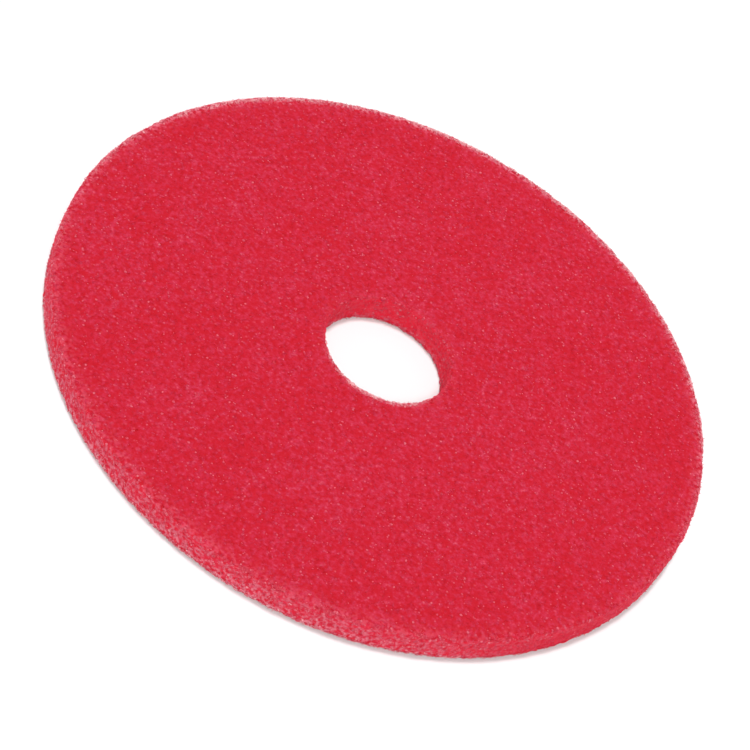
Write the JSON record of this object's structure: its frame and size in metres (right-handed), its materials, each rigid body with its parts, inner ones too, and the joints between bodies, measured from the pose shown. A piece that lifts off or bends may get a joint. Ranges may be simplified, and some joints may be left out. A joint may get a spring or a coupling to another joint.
{
  "type": "floor buffing pad",
  "caption": "Round non-woven buffing pad with an open centre hole, worn by the pad driver of a rotary floor machine.",
  "frame": {"origin": "centre of the hole on the cleaning face, which lies on Z = 0", "axes": "+Z along the hole's axis, from the cleaning face to the face that the pad driver grips"},
  "size_m": [0.4319, 0.432, 0.02],
  "materials": {
    "web": "matte open non-woven fibre web, red throughout"
  },
  "bodies": {
    "root": {"buffing_pad": "web"}
  },
  "joints": []
}
